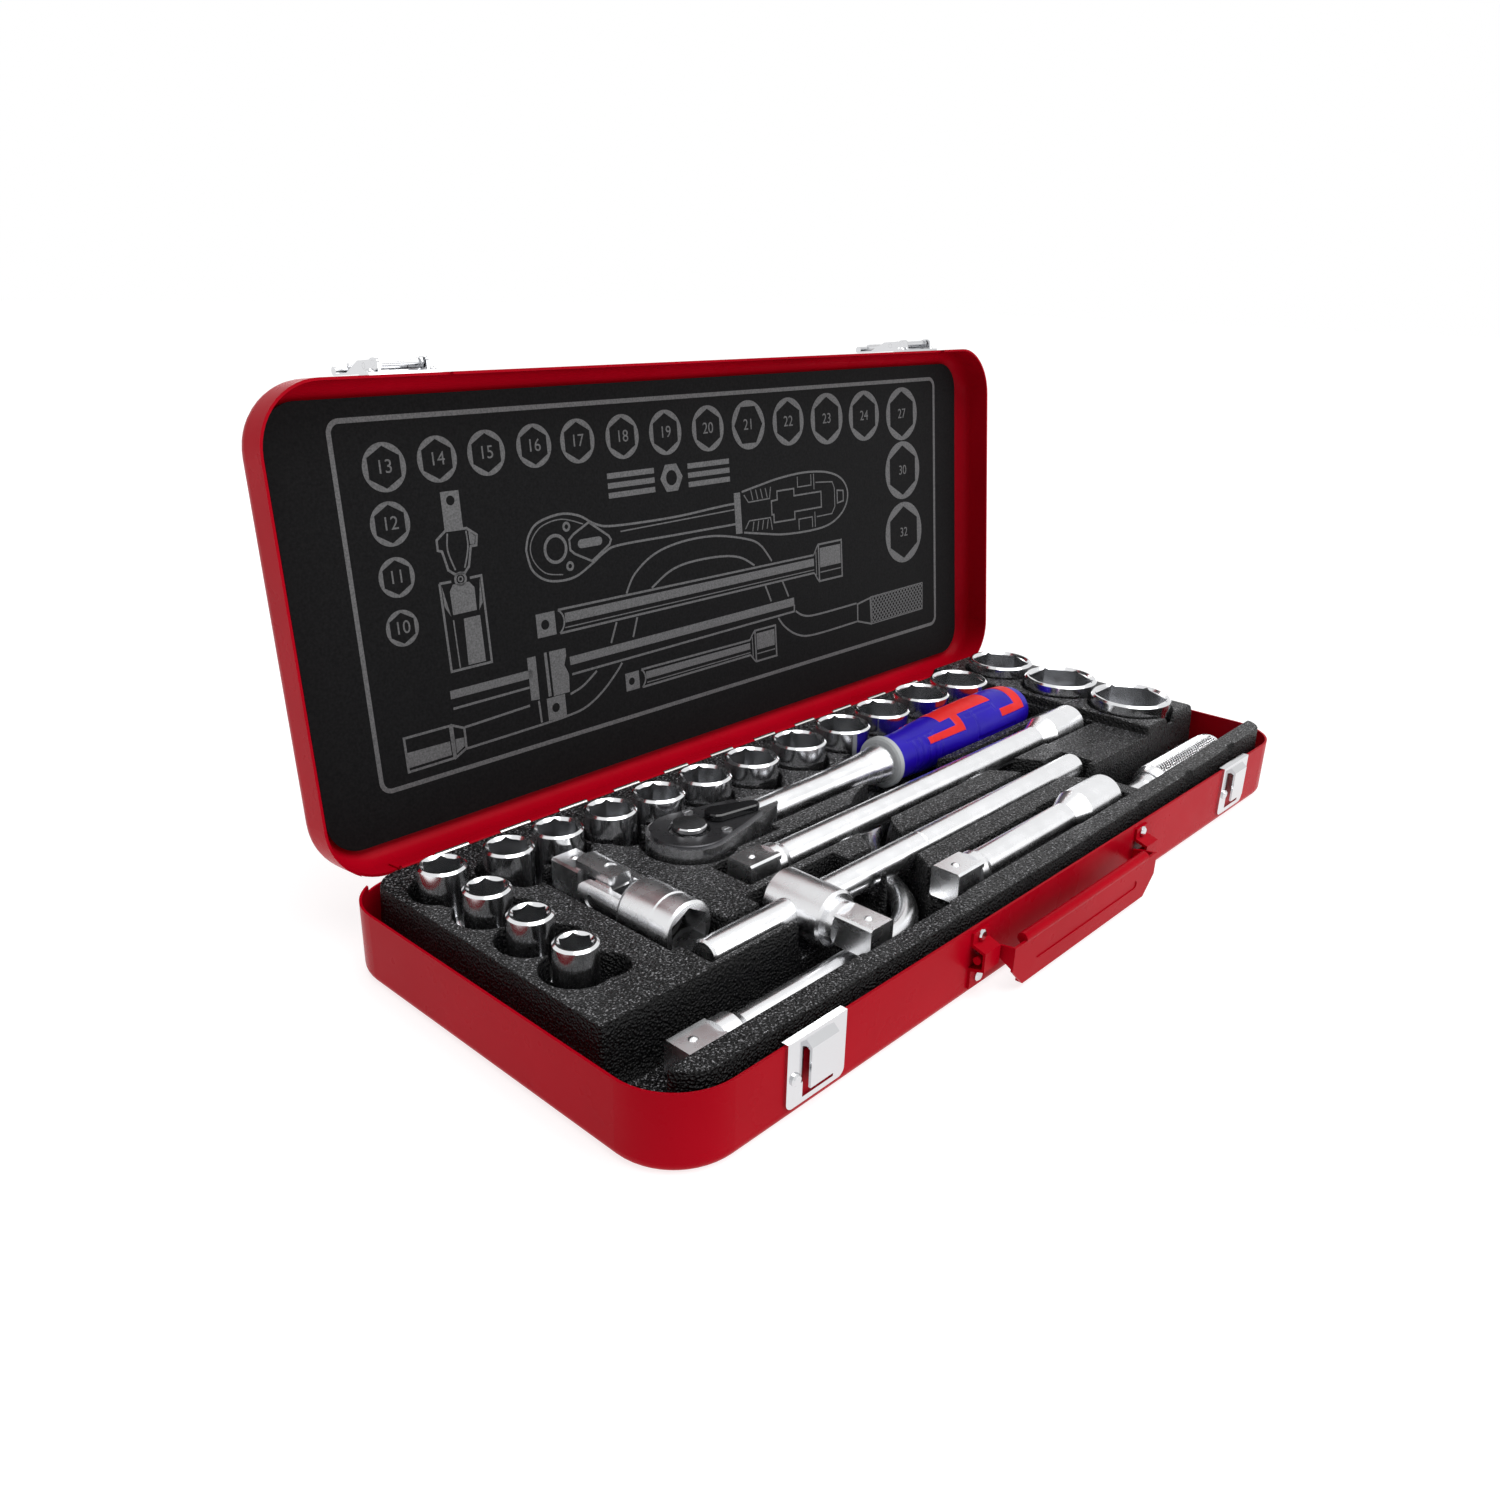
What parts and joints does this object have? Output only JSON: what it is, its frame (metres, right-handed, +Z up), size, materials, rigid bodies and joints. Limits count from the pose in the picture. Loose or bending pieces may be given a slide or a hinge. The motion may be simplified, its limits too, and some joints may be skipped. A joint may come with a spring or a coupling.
{
  "type": "socket wrench set in case",
  "caption": "Hinged sheet-metal case, open, with a black moulded tray of metric sockets, reversible ratchet, extension bars, sliding T-bar, speed brace and swivel spark plug socket.",
  "frame": {"origin": "centre of the base pan's underside", "axes": "+X along the case's length, -Y towards the latches and carrying handle, +Z up"},
  "size_m": [0.435, 0.2519, 0.2133],
  "materials": {
    "red_paint": "glossy red enamel",
    "bare_steel": "bare steel",
    "bright_chrome": "polished",
    "satin_chrome": "satin chrome",
    "tray_black": "fine grain",
    "liner_print": "printed sheet",
    "grip_blue": "semi gloss",
    "grip_red": "semi gloss",
    "collar_white": "gloss",
    "dark_plate": "dark satin",
    "black_lever": "gloss",
    "black_rubber": "dull"
  },
  "bodies": {
    "case": {"base_pan": "red_paint", "base_hinge_leaf": "bare_steel", "hinge_pin": "bare_steel", "tray": "tray_black", "latch_keepers": "bright_chrome", "handle_brackets": "red_paint", "base_rivets": "bright_chrome"},
    "lid": {"lid_shell": "red_paint", "lid_hinge_leaf": "red_paint", "lid_liner": "liner_print", "latch_mounts": "bright_chrome", "latch_rivets": "bright_chrome", "latch_pins": "bright_chrome"},
    "left_lever": {"latch_lever_left": "bright_chrome"},
    "right_lever": {"latch_lever_right": "bright_chrome"},
    "left_claw": {"latch_claw_left": "bright_chrome"},
    "right_claw": {"latch_claw_right": "bright_chrome"},
    "handle": {"handle_bail": "red_paint"},
    "ratchet": {"ratchet_body": "satin_chrome", "ratchet_cover_plate": "dark_plate", "ratchet_cover_screws": "satin_chrome", "ratchet_collar": "collar_white", "ratchet_grip": "grip_blue", "ratchet_grip_inlay": "grip_red", "pawl_spring": "bare_steel"},
    "ratchet_drive": {"ratchet_gear": "satin_chrome"},
    "pawl": {"ratchet_pawl": "satin_chrome"},
    "reverser": {"reverse_lever": "black_lever"},
    "button": {"release_button": "bright_chrome"},
    "swivel_socket": {"spark_plug_socket": "satin_chrome", "plug_grip_insert": "black_rubber"},
    "swivel_cross": {"joint_cross": "satin_chrome"},
    "swivel_drive": {"joint_drive_yoke": "satin_chrome"},
    "brace": {"brace_shaft": "satin_chrome", "brace_end_washer": "satin_chrome"},
    "brace_handle": {"brace_grip": "satin_chrome"},
    "tbar": {"tbar_rod": "satin_chrome"},
    "tbar_slider": {"tbar_head": "satin_chrome"},
    "long_extension": {"extension_long": "satin_chrome"},
    "short_extension": {"extension_short": "satin_chrome"},
    "socket_10_body": {"socket_10": "satin_chrome"},
    "socket_11_body": {"socket_11": "satin_chrome"},
    "socket_12_body": {"socket_12": "satin_chrome"},
    "socket_13_body": {"socket_13": "satin_chrome"},
    "socket_14_body": {"socket_14": "satin_chrome"},
    "socket_15_body": {"socket_15": "satin_chrome"},
    "socket_16_body": {"socket_16": "satin_chrome"},
    "socket_17_body": {"socket_17": "satin_chrome"},
    "socket_18_body": {"socket_18": "satin_chrome"},
    "socket_19_body": {"socket_19": "satin_chrome"},
    "socket_20_body": {"socket_20": "satin_chrome"},
    "socket_21_body": {"socket_21": "satin_chrome"},
    "socket_22_body": {"socket_22": "satin_chrome"},
    "socket_23_body": {"socket_23": "satin_chrome"},
    "socket_24_body": {"socket_24": "satin_chrome"},
    "socket_27_body": {"socket_27": "satin_chrome"},
    "socket_30_body": {"socket_30": "satin_chrome"},
    "socket_32_body": {"socket_32": "satin_chrome"}
  },
  "joints": [
    {"name": "lid_hinge", "type": "hinge", "parent": "case", "child": "lid", "pos_m": [0, 0.0895, 0.0285], "axis": [-1, 0, 0], "range_deg": [-96, 0]},
    {"name": "left_latch_lever_pivot", "type": "hinge", "parent": "lid", "child": "left_lever", "pos_m": [-0.157, 0.11674, 0.21115], "axis": [-1, 0, 0], "range_deg": [-178, 0]},
    {"name": "right_latch_lever_pivot", "type": "hinge", "parent": "lid", "child": "right_lever", "pos_m": [0.157, 0.11674, 0.21115], "axis": [-1, 0, 0], "range_deg": [-178, 0]},
    {"name": "left_latch_claw_pivot", "type": "hinge", "parent": "left_lever", "child": "left_claw", "pos_m": [-0.157, 0.12564, 0.20972], "axis": [1, 0, 0], "range_deg": [0, 20]},
    {"name": "right_latch_claw_pivot", "type": "hinge", "parent": "right_lever", "child": "right_claw", "pos_m": [0.157, 0.12564, 0.20972], "axis": [1, 0, 0], "range_deg": [0, 20]},
    {"name": "handle_pivot", "type": "hinge", "parent": "case", "child": "handle", "pos_m": [0, -0.0943, 0.017], "axis": [-1, 0, 0], "range_deg": [0, 62]},
    {"name": "ratchet_drive_spin", "type": "hinge", "parent": "ratchet", "child": "ratchet_drive", "pos_m": [-0.098, 0.026, 0.0305], "axis": [0, 0, 1], "continuous": true},
    {"name": "reverse_lever_pivot", "type": "hinge", "parent": "ratchet", "child": "reverser", "pos_m": [-0.0825, 0.026, 0.0305], "axis": [0, 0, 1], "range_deg": [0, 32]},
    {"name": "pawl_pivot", "type": "hinge", "parent": "ratchet", "child": "pawl", "pos_m": [-0.0825, 0.026, 0.0305], "axis": [0, 0, 1], "range_deg": [0, 6.4]},
    {"name": "release_button_slide", "type": "slide", "parent": "ratchet_drive", "child": "button", "axis": [0, 0, -1], "range_m": [0, 0.0016], "stiffness_N_per_m": 800},
    {"name": "tbar_head_slide", "type": "slide", "parent": "tbar", "child": "tbar_slider", "axis": [1, 0, 0], "range_m": [-0.002, 0.022]},
    {"name": "swivel_cross_pivot", "type": "hinge", "parent": "swivel_socket", "child": "swivel_cross", "pos_m": [-0.146, 0.0175, 0.03], "axis": [1, 0, 0], "range_deg": [0, 34]},
    {"name": "swivel_drive_pivot", "type": "hinge", "parent": "swivel_cross", "child": "swivel_drive", "pos_m": [-0.146, 0.0175, 0.03], "axis": [0, 0, 1], "range_deg": [-8, 8]},
    {"name": "brace_grip_spin", "type": "hinge", "parent": "brace", "child": "brace_handle", "pos_m": [0.17, -0.06, 0.014], "axis": [1, 0, 0], "continuous": true},
    {"name": "ratchet_lift", "type": "slide", "parent": "case", "child": "ratchet", "axis": [0, 0, 1], "range_m": [0, 0.06]},
    {"name": "long_extension_lift", "type": "slide", "parent": "brace", "child": "long_extension", "axis": [0, 0, 1], "range_m": [0, 0.06]},
    {"name": "tbar_lift", "type": "slide", "parent": "brace", "child": "tbar", "axis": [0, 0, 1], "range_m": [0, 0.06]},
    {"name": "short_extension_lift", "type": "slide", "parent": "case", "child": "short_extension", "axis": [0, 0, 1], "range_m": [0, 0.06]},
    {"name": "swivel_socket_lift", "type": "slide", "parent": "case", "child": "swivel_socket", "axis": [0, 0, 1], "range_m": [0, 0.06]},
    {"name": "brace_lift", "type": "slide", "parent": "case", "child": "brace", "axis": [0, 0, 1], "range_m": [0, 0.06]},
    {"name": "socket_10_lift", "type": "slide", "parent": "case", "child": "socket_10_body", "axis": [0, 0, 1], "range_m": [0, 0.06]},
    {"name": "socket_11_lift", "type": "slide", "parent": "case", "child": "socket_11_body", "axis": [0, 0, 1], "range_m": [0, 0.06]},
    {"name": "socket_12_lift", "type": "slide", "parent": "case", "child": "socket_12_body", "axis": [0, 0, 1], "range_m": [0, 0.06]},
    {"name": "socket_13_lift", "type": "slide", "parent": "case", "child": "socket_13_body", "axis": [0, 0, 1], "range_m": [0, 0.06]},
    {"name": "socket_14_lift", "type": "slide", "parent": "case", "child": "socket_14_body", "axis": [0, 0, 1], "range_m": [0, 0.06]},
    {"name": "socket_15_lift", "type": "slide", "parent": "case", "child": "socket_15_body", "axis": [0, 0, 1], "range_m": [0, 0.06]},
    {"name": "socket_16_lift", "type": "slide", "parent": "case", "child": "socket_16_body", "axis": [0, 0, 1], "range_m": [0, 0.06]},
    {"name": "socket_17_lift", "type": "slide", "parent": "case", "child": "socket_17_body", "axis": [0, 0, 1], "range_m": [0, 0.06]},
    {"name": "socket_18_lift", "type": "slide", "parent": "case", "child": "socket_18_body", "axis": [0, 0, 1], "range_m": [0, 0.06]},
    {"name": "socket_19_lift", "type": "slide", "parent": "case", "child": "socket_19_body", "axis": [0, 0, 1], "range_m": [0, 0.06]},
    {"name": "socket_20_lift", "type": "slide", "parent": "case", "child": "socket_20_body", "axis": [0, 0, 1], "range_m": [0, 0.06]},
    {"name": "socket_21_lift", "type": "slide", "parent": "case", "child": "socket_21_body", "axis": [0, 0, 1], "range_m": [0, 0.06]},
    {"name": "socket_22_lift", "type": "slide", "parent": "case", "child": "socket_22_body", "axis": [0, 0, 1], "range_m": [0, 0.06]},
    {"name": "socket_23_lift", "type": "slide", "parent": "case", "child": "socket_23_body", "axis": [0, 0, 1], "range_m": [0, 0.06]},
    {"name": "socket_24_lift", "type": "slide", "parent": "case", "child": "socket_24_body", "axis": [0, 0, 1], "range_m": [0, 0.06]},
    {"name": "socket_27_lift", "type": "slide", "parent": "case", "child": "socket_27_body", "axis": [0, 0, 1], "range_m": [0, 0.06]},
    {"name": "socket_30_lift", "type": "slide", "parent": "case", "child": "socket_30_body", "axis": [0, 0, 1], "range_m": [0, 0.06]},
    {"name": "socket_32_lift", "type": "slide", "parent": "case", "child": "socket_32_body", "axis": [0, 0, 1], "range_m": [0, 0.06]}
  ],
  "couplings": [
    {"joint": "reverse_lever_pivot", "follows": "pawl_pivot", "ratio": 5}
  ]
}
